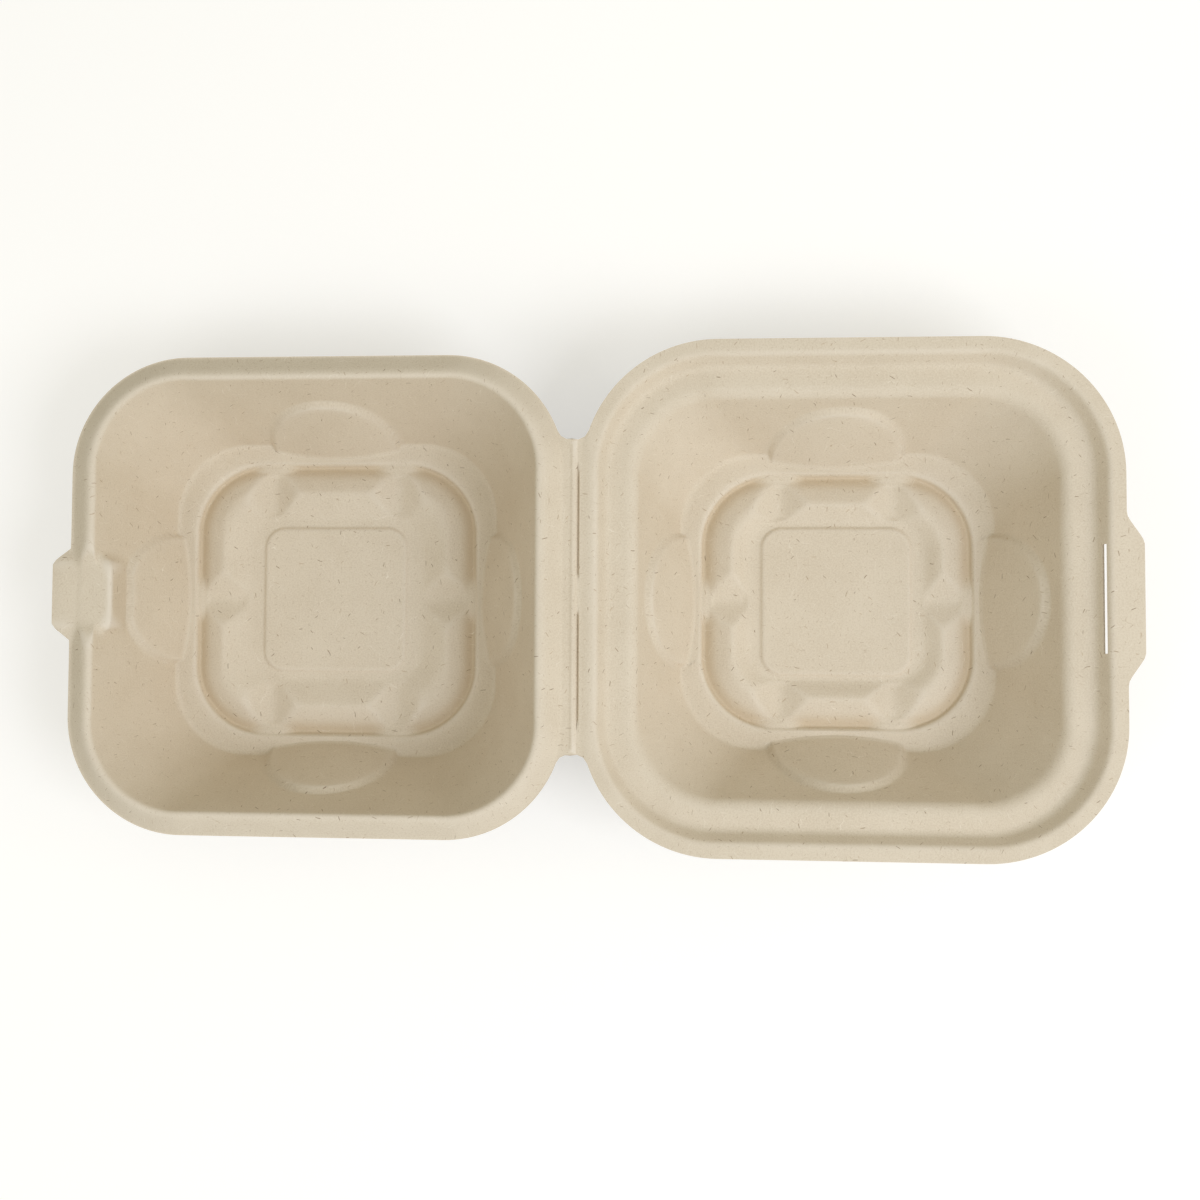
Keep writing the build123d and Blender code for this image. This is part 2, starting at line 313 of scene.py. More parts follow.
class Sheet:
    """A moulded sheet under construction: its inside face, and that face laid out flat."""

    def __init__(self, points: np.ndarray, flat: np.ndarray, gap: np.ndarray) -> None:
        """Start from lines of points round the half, the first at the rim and the last inmost.

        Args:
            points: lines of points.
            flat: the same points as if the sheet were flattened.
            gap: a mask of the cells that are cut out.
        """
        rows, columns = points.shape[:2]
        self.points = [*points.reshape(-1, 3), points[-1].mean(axis=0)]
        self.flat = [*flat.reshape(-1, 2), flat[-1].mean(axis=0)]
        self.faces: list[tuple[int, ...]] = []
        for i in range(rows - 1):
            for j in range(columns):
                if not gap[i, j]:
                    a, b = i * columns + j, i * columns + (j + 1) % columns
                    self.faces.append((a, b, b + columns, a + columns))
        last = (rows - 1) * columns
        self.faces += [(last + j, last + (j + 1) % columns, rows * columns) for j in range(columns)]

    def add_apron(self, chain: Sequence[int], edge: np.ndarray, shares: np.ndarray) -> list[int]:
        """Carry part of the rim outward to an edge, such as the crease or the tip of a tab.

        Args:
            chain: the rim's vertices in order, counter-clockwise.
            edge: where each of them is carried to.
            shares: how far out each further line of points lies, rising to 1.

        Returns:
            The vertices along the edge.
        """
        lines = [list(chain)]
        for share in shares:
            line = []
            for j, index in enumerate(chain):
                source = self.points[index]
                step = (edge[j] - source[:2]) * share[j]
                if np.hypot(*(edge[j] - source[:2])) < MERGE:
                    line.append(index)
                    continue
                line.append(len(self.points))
                self.points.append(np.array([*(source[:2] + step), source[2]]))
                self.flat.append(self.flat[index] + step)
            lines.append(line)
        for inner, outer in zip(lines[:-1], lines[1:]):
            for k in range(len(chain) - 1):
                corners = tuple(dict.fromkeys((outer[k], outer[k + 1], inner[k + 1], inner[k])))
                if len(corners) > 2:
                    self.faces.append(corners)
        return lines[-1]

    def normals(self, points: np.ndarray) -> np.ndarray:
        """The sheet's direction at each point, from the faces round it."""
        triangles = [f[:3] for f in self.faces] + [(f[0], f[2], f[3]) for f in self.faces if len(f) == 4]
        corners = np.array(triangles)
        a, b, c = (points[corners[:, k]] for k in range(3))
        cross = np.cross(b - a, c - a)
        total = np.zeros_like(points)
        for k in range(3):
            np.add.at(total, corners[:, k], cross)
        size = np.linalg.norm(total, axis=1)[:, None]
        return np.where(size > 0, total / np.where(size > 0, size, 1), (0, 0, 1))

    def ridges(self, points: np.ndarray, direction: np.ndarray, passes: int = 10) -> np.ndarray:
        """How far each point stands out of the few millimetres of sheet round it.

        Args:
            points: the final points of the inside face.
            direction: the sheet's direction at each of them.
            passes: how many times the sheet is smoothed for the comparison.

        Returns:
            The height, below 0 in a hollow.
        """
        sides = {tuple(sorted(side)) for f in self.faces for side in zip(f, f[1:] + f[:1])}
        first, second = np.array(sorted(sides)).T
        size = len(points)
        ways = np.bincount(first, minlength=size) + np.bincount(second, minlength=size)
        smoothed = points
        for _ in range(passes):
            total = np.column_stack([
                np.bincount(first, smoothed[second, k], size)
                + np.bincount(second, smoothed[first, k], size)
                for k in range(3)
            ])
            smoothed = np.where(ways[:, None] > 0, total / np.maximum(ways, 1)[:, None], points)
        return ((points - smoothed) * direction).sum(axis=1)

    def make(self, name: str, points: np.ndarray, recess: np.ndarray, sheet: float,
             upright: Sequence[int]) -> bpy.types.Object:
        """Give the sheet its thickness and make the object.

        Args:
            name: the piece's name.
            points: the final points of the inside face, in the whole box's frame.
            recess: how deep in the moat each of them lies, from 0 to 1.
            sheet: the sheet's thickness.
            upright: vertices whose thickness runs straight down.

        Returns:
            The new object, with the slots of Face and a flat pattern for the finish.
        """
        direction = self.normals(points)
        ridge = self.ridges(points, direction)
        direction[list(upright)] = (0, 0, 1)
        used = sorted({v for f in self.faces for v in f})
        place = {old: new for new, old in enumerate(used)}
        faces = [tuple(place[v] for v in f) for f in self.faces]
        points, direction = points[used], direction[used]
        flat = np.array(self.flat)[used]
        low, high = (np.array(corner) / MM for corner in CAD_BOX)
        every = np.clip(np.concatenate([points, points - sheet * direction]), low, high)
        count = len(points)
        sides = {(a, b) for f in faces for a, b in zip(f, f[1:] + f[:1])}
        rim = [(b, a, a + count, b + count) for a, b in sorted(sides) if (b, a) not in sides]
        outside = [tuple(v + count for v in reversed(f)) for f in faces]
        mesh = bpy.data.meshes.new(name)
        mesh.from_pydata((every * MM).tolist(), [], faces + outside + rim)
        mesh.shade_smooth()
        mesh.set_sharp_from_angle(angle=SHARP_BEND)
        slots = np.repeat([Face.INSIDE.value, Face.OUTSIDE.value], [len(faces), len(outside) + len(rim)])
        mesh.polygons.foreach_set("material_index", slots.astype(np.int32))
        places = np.column_stack([np.tile(flat, (2, 1)) * MM, np.repeat([0.0, 1.0], count)])
        pattern = mesh.attributes.new("sheet", "FLOAT_VECTOR", "POINT")
        pattern.data.foreach_set("vector", places.astype(np.float32).ravel())
        steep = 1 - smooth_step(direction[:, 2], *STEEP_WALL)
        # ridge drives a painted highlight on crests, and recess and steep drive painted shade in the moat
        # and on the walls.
        for attribute, inside, outside in (("ridge", ridge[used], -ridge[used]),
                                           ("recess", recess[used], 0 * recess[used]),
                                           ("steep", steep, steep)):
            values = mesh.attributes.new(attribute, "FLOAT", "POINT")
            values.data.foreach_set("value", np.concatenate([inside, outside]).astype(np.float32))
        piece = bpy.data.objects.new(name, mesh)
        bpy.context.scene.collection.objects.link(piece)
        return piece


@dataclass(frozen=True)
class Relief:
    """Sizes that both halves share below their mouths."""

    depth: float = 36.0
    ring_rise: float = 1.8
    pad_rise: float = 3.7
    well_rise: float = 0.8
    panel_rise: float = 0.9
    foot_corner: float = 23.5
    ring_width: float = 7.0
    moat_corner: float = 21.6
    moat_slope: float = 1.1
    moat_flat: float = 0.6
    pad_flank: float = 2.5
    pad_flank_rise: float = 1.6
    pad_slope: float = 7.3
    pad_crest: float = 1.4
    pad_inner_corner: float = 10.0
    panel_half: float = 22.5
    panel_corner: float = 6.0
    panel_slope: float = 0.9
    channel_rise: float = 0.5
    channel_half_width: float = 6.4
    channel_soft: float = 1.9
    channel_blend: float = 0.7
    moat_fill: float = 1.1
    moat_fill_reach: float = 7.0
    # recess_top is how high above the moat floor the painted shade in the moat reaches.
    recess_top: float = 3.0
    scallop_half_width: float = 20.5
    scallop_press: float = 4.2
    scallop_ledge: float = 1.5
    scallop_bow: float = 80.0
    scallop_edge: float = 0.85

    @property
    def ring_height(self) -> float:
        """Height of the flat ring at the foot of the walls."""
        return self.ring_rise - self.depth


@dataclass(frozen=True)
class Fold:
    """The pressed crease between the halves, with distances counted from the crease."""

    half_span: float = 79.1
    half_length: float = 46.6
    notch_radius: float = 3.8
    dip_depth: float = 0.45
    dip_flat: float = 1.4
    dip_reach: float = 3.6
    rib_height: float = 0.3
    rib_from_crease: float = 1.6
    rib_half_foot: float = 0.8
    rib_half_crest: float = 0.1
    score_depth: float = 0.8
    score_reach: float = 0.5
    dashes: tuple[tuple[float, float], ...] = ((-37.6, -4.4), (5.7, 37.6))
    dash_end: float = 0.8
    bend_reach: float = 0.6

    def score(self, from_crease: np.ndarray, y: np.ndarray) -> np.ndarray:
        """How deep the two scored dashes press the sheet at a distance from the crease."""
        dash = sum(
            smooth_step(y, start, start + self.dash_end) * (1 - smooth_step(y, end - self.dash_end, end))
            for start, end in self.dashes
        )
        return self.score_depth * dash * (1 - smooth_step(from_crease, 0, self.score_reach))

    def base_dip(self, from_crease: np.ndarray) -> np.ndarray:
        """How far the base's strip beside the crease lies below the rim plane."""
        return self.dip_depth * (1 - smooth_step(from_crease, self.dip_flat - 0.5, self.dip_reach))

    def lid_rib(self, from_crease: np.ndarray) -> np.ndarray:
        """Height of the lid's strip: down at the crease, with a rib further out."""
        off = np.abs(from_crease - self.rib_from_crease)
        rib = self.rib_height * (1 - smooth_step(off, self.rib_half_crest, self.rib_half_foot))
        foot = self.rib_from_crease - self.rib_half_foot
        return rib - self.dip_depth * (1 - smooth_step(from_crease, 0.1, foot + 0.2))

    def notch(self, corner_x: float, corner_y: float, corner: float) -> tuple[float, float]:
        """Where the notch's arc meets a half's rounded corner.

        Args:
            corner_x: distance of the corner's centre from the crease.
            corner_y: distance of the corner's centre from the middle.
            corner: the corner's radius.

        Returns:
            The notch's centre, counted from the crease towards the half, and the angle on the
            corner at which they touch, in radians from the direction of the crease.
        """
        rise = self.half_length + self.notch_radius - corner_y
        reach = corner + self.notch_radius
        return corner_x - math.sqrt(reach ** 2 - rise ** 2), math.asin(rise / reach)


@dataclass
class Half:
    """What the base and the lid have in common: walls, pressed panels, floor relief and fold."""

    # The flat patterns lie this many times further apart than the halves. The waviness stays off
    # between the heights of CALM_FLOOR, counted from the floor, and CALM_RIM, from the rim.
    PATTERN_APART: ClassVar[float] = 3
    CALM_FLOOR: ClassVar[tuple[float, float]] = (1.5, 6)
    CALM_RIM: ClassVar[tuple[float, float]] = (-9, -6)
    WAVES: ClassVar[tuple[tuple[float, float, float], ...]] = (
        (0.113, 0.041, 0.2), (-0.052, 0.127, 1.9), (0.083, -0.097, 3.1),
        (0.171, 0.149, 4.4), (-0.209, 0.118, 0.7), (0.061, 0.233, 2.6),
    )

    name: str
    middle: tuple[float, float, float]
    towards_fold: int
    mouth: Ring
    wall_run: float
    inner_slope: float
    scallop_height: float
    channel_offset: float
    relief: Relief = field(default_factory=Relief)
    fold: Fold = field(default_factory=Fold)
    half_x: float = 0.0
    half_y: float = 0.0
    corner: float = 0.0
    sheet: float = 0.8
    cell: float = 0.038
    turn_cell: float = 3.0
    unevenness: float = 0.05

    def floor_rings(self) -> list[Ring]:
        """The contours from the walls' foot over the floor to the middle panel."""
        r = self.relief
        foot = Ring(self.mouth.half_x - self.wall_run, self.mouth.half_y - self.wall_run,
                    r.foot_corner, r.ring_height, soft=1.3, cell=0.9)
        moat = Ring(foot.half_x - r.ring_width, foot.half_y - r.ring_width, r.moat_corner,
                    -r.depth, soft=0.4, cell=0.7)
        moat_top = moat.inset(-r.moat_slope, r.ring_height, soft=0.9, cell=0.6)
        island = moat.inset(r.moat_flat, -r.depth, soft=0.5, cell=0.7)
        flank = island.inset(r.pad_flank, r.pad_flank_rise - r.depth, soft=1.3, cell=0.8)
        crest = island.inset(r.pad_slope, r.pad_rise - r.depth, soft=1.4, cell=0.8)
        well_height = r.well_rise - r.depth
        well_x = crest.half_x - r.pad_crest - self.inner_slope
        well = Ring(well_x, well_x - self.mouth.half_x + self.mouth.half_y, r.pad_inner_corner,
                    well_height, soft=1.6, cell=0.9)
        crest_end = well.inset(-self.inner_slope, crest.height, soft=1.8, cell=0.8)
        panel_edge = r.panel_half + r.panel_slope
        panel_foot = Ring(panel_edge, panel_edge, r.panel_corner + r.panel_slope, well_height,
                          soft=0.5, cell=0.6)
        panel = Ring(r.panel_half, r.panel_half, r.panel_corner, well_height + r.panel_rise,
                     soft=0.7, cell=0.9)
        middle = [panel.inset(by, panel.height, cell=5.0) for by in (1.8, 4.5)]
        for share in (0.55, 0.25):
            half = r.panel_half * share
            middle.append(Ring(half, half, 1.5 * share, panel.height, cell=8.0))
        return [foot, moat_top, moat, island, flank, crest, crest_end, well, panel_foot, panel, *middle]

    def notch(self) -> tuple[float, float]:
        """The notch's centre from the crease, and the angle at which it touches the corner."""
        f = self.fold
        corner_x = f.half_span - self.half_x + self.corner
        return f.notch(corner_x, self.half_y - self.corner, self.corner)

    def rings(self) -> list[Ring]:
        """All contours of the half, from its rim inward."""
        raise NotImplementedError

    def columns(self) -> Columns:
        """The half's mesh columns."""
        raise NotImplementedError

    def scallop_depth(self, along: np.ndarray, height: np.ndarray) -> np.ndarray:
        """How far a pressed panel stands in from the wall.

        Args:
            along: distance from the panel's middle along the wall.
            height: height above the ring at the wall's foot.

        Returns:
            The inward shift.
        """
        r = self.relief
        up = np.clip(height, 0, None) / self.scallop_height
        radial = np.hypot(along / r.scallop_half_width, up)
        change = np.hypot(along / r.scallop_half_width ** 2, up / self.scallop_height)
        inside = (1 - radial) * np.clip(radial, 0.2, None) / np.clip(change, 1e-4, None)
        panel = r.scallop_press * (1 - up) + r.scallop_ledge * up - along ** 2 / (2 * r.scallop_bow)
        return panel * smooth_step(inside, -0.5 * r.scallop_edge, 0.7 * r.scallop_edge)

    def press_scallops(self, grid: np.ndarray, rows: np.ndarray, columns: Columns) -> None:
        """Press the four thumb-shaped panels into the walls, in place.

        Args:
            grid: lines of points, which are moved.
            rows: the profile's rows.
            columns: the mesh columns.
        """
        r = self.relief
        foot = self.mouth.half_x - self.wall_run
        inner = foot - r.ring_width + r.moat_slope
        share = np.clip((rows[:, 0] - inner) / (foot - inner), 0, 1)[:, None]
        for segment, (out_x, out_y) in Columns.OUTWARD.items():
            mask = columns.on(segment)
            axis = 0 if out_x else 1
            depth = self.scallop_depth(grid[:, mask, 1 - axis], grid[:, mask, 2] - r.ring_height)
            grid[:, mask, axis] -= (out_x + out_y) * share * depth

    def from_channels(self, x: np.ndarray, y: np.ndarray) -> np.ndarray:
        """Distance from the middle line of the nearest channel, rounded at that line."""
        soft = self.relief.channel_soft
        nearest = np.minimum(np.abs(y), np.abs(np.abs(x) - self.channel_offset))
        return np.hypot(nearest, soft) - soft

    def cut_channels(self, grid: np.ndarray, rows: np.ndarray) -> None:
        """Part the pads by six V-shaped channels, in place.

        Args:
            grid: lines of points, which are lowered.
            rows: the profile's rows.
        """
        r = self.relief
        x, y, z = grid[:, :, 0], grid[:, :, 1], grid[:, :, 2]
        lean = (r.pad_rise - r.channel_rise) / r.channel_half_width
        groove = r.channel_rise - r.depth + lean * self.from_channels(x, y)
        well_height = r.well_rise - r.depth
        island = self.mouth.half_x - self.wall_run - r.ring_width - r.moat_flat
        well = island - r.pad_slope - r.pad_crest - self.inner_slope
        on_pads = ((rows[:, 0] < island) & (rows[:, 0] > well))[:, None]
        above = smooth_step(z, well_height - 0.1, well_height + 0.9)
        z = np.where(on_pads, z + (soft_min(z, groove, r.channel_blend) - z) * above, z)
        near = 1 - smooth_step(self.from_channels(x, y), 0.5, r.moat_fill_reach)
        filled = soft_max(z, r.moat_fill * near - r.depth, 0.4)
        outside = smooth_step(rows[:, 0], island - r.pad_flank, island)
        outside = np.where(rows[:, 0] > island + r.moat_flat + r.moat_slope, 0, outside)[:, None]
        grid[:, :, 2] = z + (filled - z) * outside * smooth_step(near, 0.0, 0.2)

    def recess(self, rows: np.ndarray, grid: np.ndarray) -> np.ndarray:
        """How deep each point lies in the moat, which sets how much painted shade darkens it.

        Args:
            rows: the profile's rows.
            grid: lines of points.

        Returns:
            The share of the moat's depth, less on the flanks of the pads and 0 elsewhere.
        """
        r = self.relief
        moat = self.mouth.half_x - self.wall_run - r.ring_width
        outside = smooth_step(rows[:, 0], moat - r.pad_slope, moat - r.pad_flank)
        outside = outside * (1 - smooth_step(rows[:, 0], moat, moat + r.moat_slope))
        deep = (1 - smooth_step(grid[:, :, 2], -r.depth, r.recess_top - r.depth)) * outside[:, None]
        return deep * smooth_step(self.from_channels(grid[:, :, 0], grid[:, :, 1]), 1.0, r.moat_fill_reach)

    def flatten(self, rows: np.ndarray, grid: np.ndarray, columns: Columns) -> np.ndarray:
        """Lay the sheet out flat, so that the finish isn't stretched on the walls.

        Args:
            rows: the profile's rows.
            grid: lines of points.
            columns: the mesh columns.

        Returns:
            The flat place of each point, apart for the two halves.
        """
        run = np.abs(np.diff(rows[:, 0], append=rows[-1:, 0]))
        length = np.hypot(run, np.diff(rows[:, 3], append=rows[-1:, 3]))
        spare = np.cumsum((length - run)[::-1])[::-1]
        apart = self.middle[0] * self.PATTERN_APART
        return grid[:, :, :2] + columns.reach[None] * spare[:, None, None] + apart

    def uneven(self, points: np.ndarray) -> np.ndarray:
        """The slight waviness that moulded fibre dries with, as a small height for each point."""
        x, y = points[:, 0] + self.middle[0], points[:, 1]
        return self.unevenness * sum(np.sin(a * x + b * y + c) for a, b, c in self.WAVES) / 2

    def gap(self, rows: np.ndarray, grid: np.ndarray, columns: Columns) -> np.ndarray:
        """A mask of the cells that are cut out, none unless a half says so."""
        return np.zeros(grid.shape[:2], bool)

    def add_rim(self, sheet: Sheet, columns: Columns) -> list[int]:
        """Carry the rim out to the crease and to the half's own tab or flare.

        Args:
            sheet: the sheet, which is added to.
            columns: the mesh columns.

        Returns:
            The vertices on the crease.
        """
        raise NotImplementedError

    def shape(self, points: np.ndarray) -> np.ndarray:
        """Press what crosses the contours, such as the crease's strip, into the points."""
        raise NotImplementedError

    def build(self) -> bpy.types.Object:
        """Build the half as one closed sheet.

        Returns:
            The half's object.
        """
        columns = self.columns()
        rows = profile_rows(self.rings())
        grid = columns.lay(rows)
        flat = self.flatten(rows, grid, columns)
        self.press_scallops(grid, rows, columns)
        self.cut_channels(grid, rows)
        sheet = Sheet(grid, flat, self.gap(rows, grid, columns))
        crease = self.add_rim(sheet, columns)
        points = self.shape(np.array(sheet.points))
        low, high = self.CALM_FLOOR
        calm = smooth_step(points[:, 2], low - self.relief.depth, high - self.relief.depth)
        calm = calm * (1 - smooth_step(points[:, 2], *self.CALM_RIM))
        points[:, 2] += self.uneven(points) * calm
        recess = np.zeros(len(points))
        recess[:grid.shape[0] * columns.count] = self.recess(rows, grid).ravel()
        piece = sheet.make(self.name, points + np.array(self.middle), recess, self.sheet, crease)
        LOG.info("%s: %d rows, %d columns, %d faces", self.name, len(rows), columns.count,
                 len(piece.data.polygons))
        return piece


@dataclass
class BaseTray(Half):
    """The base: flange, step with its slit, ledge, cavity and thumb flare."""

    half_x: float = 78.2
    half_y: float = 76.2
    corner: float = 40.0
    flange_width: float = 4.5
    step_run: float = 3.3
    step_drop: float = 5.0
    flare_reach: float = 4.9
    flare_half_length: float = 16.6
    flare_ramp: float = 7.2
    flare_soft: float = 1.3
    slit_half_length: float = 15.8
    slit_top: float = -1.3
    slit_bottom: float = -2.6

    def rings(self) -> list[Ring]:
        """All contours of the half, from its rim inward."""
        edge = Ring(self.half_x, self.half_y, self.corner, 0.0, cell=1.2)
        flange = edge.inset(self.flange_width, 0.0, soft=1.2, cell=0.42)
        step = flange.inset(self.step_run, -self.step_drop, soft=1.7, cell=1.0)
        return [edge, flange, step, self.mouth, *self.floor_rings()]

    def columns(self) -> Columns:
        """The half's mesh columns, with stops at the flare, the slit and the notches."""
        half = self.half_y - self.corner
        flare = (self.flare_half_length + self.flare_ramp + self.flare_soft) / half
        slit = self.slit_half_length / half
        end, touch = (math.degrees(a) for a in self.fold_angles())
        return Columns(self.cell, self.turn_cell, {
            Segment.EAST: (-1, -flare, -slit, 0, slit, flare, 1),
            Segment.NORTH_WEST: (0, 90 - touch, 90 - end, 90),
            Segment.SOUTH_WEST: (0, end, touch, 90),
        })

    def fold_angles(self) -> tuple[float, float]:
        """Where on the corner the crease's end and the notch's end stand, from the fold side."""
        rise = self.fold.half_length - self.half_y + self.corner
        return math.asin(rise / self.corner), self.notch()[1]

    def gap(self, rows: np.ndarray, grid: np.ndarray, columns: Columns) -> np.ndarray:
        """A mask of the cells that the slit takes out of the step."""
        mask = np.zeros(grid.shape[:2], bool)
        on_step = rows[:, 0] > self.mouth.half_x + self.corner / 8
        first, last = (
            int(np.argmin(np.where(on_step, np.abs(rows[:, 3] - height), np.inf)))
            for height in (self.slit_top, self.slit_bottom)
        )
        half = self.slit_half_length / (self.half_y - self.corner)
        inside = columns.on(Segment.EAST) & (columns.place > -half - TINY) & (columns.place < half - TINY)
        mask[first:last] = inside
        return mask

    def add_rim(self, sheet: Sheet, columns: Columns) -> list[int]:
        """Carry the rim out to the crease and the thumb flare.

        Args:
            sheet: the sheet, which is added to.
            columns: the mesh columns.

        Returns:
            The vertices on the crease.
        """
        f = self.fold
        first, touch = self.fold_angles()
        centre_x, _ = self.notch()
        start = -math.acos(-centre_x / f.notch_radius)
        notch = arc((centre_x, f.half_length + f.notch_radius), f.notch_radius, start, -touch)
        degrees = math.degrees(touch)
        chain = columns.run(Segment.NORTH_WEST, 90 - degrees, Segment.SOUTH_WEST, degrees)
        edge = []
        for index in chain:
            y = sheet.points[index][1]
            turned = self.turned(columns, index)
            away, far = 0.0, min(abs(y), notch[0][1])
            if turned > first + TINY:
                away, far = along_line(notch, (turned - first) / (touch - first))
            edge.append((away - f.half_span, math.copysign(far, y)))
        shares = for_each(EVEN_LINES, len(chain))
        line = sheet.add_apron(chain, np.array(edge), shares)
        crease = [v for v in line if abs(sheet.points[v][0] + f.half_span) < TINY]
        self.add_flare(sheet, columns)
        return crease

    def turned(self, columns: Columns, index: int) -> float:
        """How far round the corner from the fold side a column stands, in radians."""
        place = columns.place[index]
        if columns.segment[index] is Segment.NORTH_WEST:
            return math.radians(90 - place)
        return math.radians(place) if columns.segment[index] is Segment.SOUTH_WEST else 0.0

    def add_flare(self, sheet: Sheet, columns: Columns) -> None:
        """Carry the flange out to the thumb flare's edge.

        Args:
            sheet: the sheet, which is added to.
            columns: the mesh columns.
        """
        end = self.flare_half_length + self.flare_ramp
        reach = (end + self.flare_soft) / (self.half_y - self.corner)
        chain = columns.run(Segment.EAST, -reach, Segment.EAST, reach)
        y = np.array([sheet.points[i][1] for i in chain])
        past_flat = soft_rise(np.abs(y) - self.flare_half_length, self.flare_soft)
        past_ramp = soft_rise(np.abs(y) - end, self.flare_soft)
        out = self.half_x + self.flare_reach * (1 - (past_flat - past_ramp) / self.flare_ramp)
        shares = for_each((0.25, 0.5, 0.75, 1.0), len(chain))
        sheet.add_apron(chain, np.column_stack([out, y]), shares)

    def shape(self, points: np.ndarray) -> np.ndarray:
        """Press the dip and the scored dashes beside the crease into the points."""
        from_crease = points[:, 0] + self.fold.half_span
        press = self.fold.base_dip(from_crease) + self.fold.score(from_crease, points[:, 1])
        points[:, 2] -= np.where(points[:, 2] > -0.5, press, 0)
        return points


@dataclass
class Lid(Half):
    """The lid: lip, rounded bead, cavity, lock tab and the ribbed strip beside the crease."""

    # How far from the crease the strip's lines of points lie.
    STRIP_LINES: ClassVar[tuple[float, ...]] = (
        3.4, 2.9, 2.5, 2.2, 1.9, 1.6, 1.3, 1.0, 0.75, 0.5, 0.3, 0.15, 0,
    )

    half_x: float = 75.2
    half_y: float = 72.2
    corner: float = 35.5
    bead_x: float = 74.3
    bead_y: float = 71.8
    bead_run: float = 5.2
    bead_height: float = 4.5
    tab_height: float = 2.1
    tab_half_width: float = 8.9
    tab_flank: float = 5.0
    tab_reach: float = 5.0
    tab_tip_corner: float = 4.2
    tab_tip_radius: float = 1.5
    tab_setback: float = 5.2
    tab_droop: float = 0.35
    tab_droop_run: float = 3.2
    tab_soft: float = 0.9
    tab_bend: float = 0.5
    tab_shoulder: float = 4.2
    fan_start: float = 9.0

    def rings(self) -> list[Ring]:
        """All contours of the half, from its rim inward."""
        bead_corner = self.corner - self.half_x + self.bead_x
        lip = Ring(self.half_x, self.half_y, self.corner, 0.0, cell=0.9)
        foot = Ring(self.bead_x, self.bead_y, bead_corner, 0.0, soft=1.0, cell=0.7)
        crest = foot.inset(self.bead_run, self.bead_height, soft=2.0, cell=0.7)
        return [lip, foot, crest, self.mouth, *self.floor_rings()]

    def columns(self) -> Columns:
        """The half's mesh columns, with stops at the tab and the notches."""
        half = self.half_y - self.corner
        root = (self.tab_half_width + self.tab_flank) / half
        tip = root - self.tab_tip_corner / half
        touch = math.degrees(self.notch()[1])
        return Columns(self.cell, self.turn_cell, {
            Segment.WEST: (-1, -root, -tip, 0, tip, root, 1),
            Segment.NORTH_EAST: (0, self.fan_start, touch, 90),
            Segment.SOUTH_EAST: (0, 90 - touch, 90 - self.fan_start, 90),
        })

    def notch_line(self) -> np.ndarray:
        """The edge from the crease's end to the corner, counted from the crease towards the lid."""
        f = self.fold
        centre_y = f.half_length + f.notch_radius
        base_x, _ = f.notch(f.half_span - BaseTray.half_x + BaseTray.corner,
                            BaseTray.half_y - BaseTray.corner, BaseTray.corner)
        start = -math.acos(-base_x / f.notch_radius)
        near = arc((base_x, centre_y), f.notch_radius, start, -math.pi / 2, 4) * (-1, 1)
        centre_x, touch = self.notch()
        return np.vstack([near, arc((centre_x, centre_y), f.notch_radius, -math.pi / 2, -touch)])

    def add_rim(self, sheet: Sheet, columns: Columns) -> list[int]:
        """Carry the rim out to the crease and the lock tab.

        Args:
            sheet: the sheet, which is added to.
            columns: the mesh columns.

        Returns:
            The vertices on the crease.
        """
        f = self.fold
        notch, touch = self.notch_line(), math.degrees(self.notch()[1])
        chain = columns.run(Segment.SOUTH_EAST, 90 - touch, Segment.NORTH_EAST, touch)
        straight = self.half_y - self.corner
        edge, width = [], []
        for index in chain:
            x, y, _ = sheet.points[index]
            place = columns.place[index]
            turned = {Segment.NORTH_EAST: place, Segment.SOUTH_EAST: 90 - place}.get(
                columns.segment[index], 0.0)
            away, far = 0.0, abs(y)
            if turned > self.fan_start + TINY:
                away, far = along_line(notch, (turned - self.fan_start) / (touch - self.fan_start))
            elif turned > 0:
                far = straight + (notch[0][1] - straight) * turned / self.fan_start
            edge.append((f.half_span - away, math.copysign(far, y)))
            width.append(f.half_span - x)
        shares = 1 - np.array(self.STRIP_LINES)[:, None] / np.array(width)[None]
        line = sheet.add_apron(chain, np.array(edge), shares)
        crease = [v for v in line if abs(sheet.points[v][0] - f.half_span) < TINY]
        self.add_tab(sheet, columns)
        return crease

    def add_tab(self, sheet: Sheet, columns: Columns) -> None:
        """Carry the lip out to the lock tab's edge.

        Args:
            sheet: the sheet, which is added to.
            columns: the mesh columns.
        """
        root = self.tab_half_width + self.tab_flank
        tip = np.array([-self.half_x - self.tab_reach, root - self.tab_tip_corner])
        half = self.half_y - self.corner
        chain = columns.run(Segment.WEST, -root / half, Segment.WEST, root / half)
        flank = np.array([self.tab_reach, self.tab_tip_corner])
        flank = flank / np.linalg.norm(flank)
        back = self.tab_tip_radius * math.tan(math.atan2(self.tab_reach, self.tab_tip_corner) / 2)
        start, end = tip + back * flank, tip - (0, back)
        bend = [(1 - t) ** 2 * start + 2 * t * (1 - t) * tip + t * t * end for t in np.linspace(0, 1, 7)]
        side = np.array([(-self.half_x, root), *bend])
        edge = []
        for index in chain:
            y = sheet.points[index][1]
            place = np.array([tip[0], abs(y) * end[1] / tip[1]])
            if abs(y) > tip[1]:
                place = along_line(side, (root - abs(y)) / (root - tip[1]))
            edge.append((place[0], math.copysign(place[1], y)))
        shares = for_each(EVEN_LINES, len(chain))
        sheet.add_apron(chain, np.array(edge), shares)

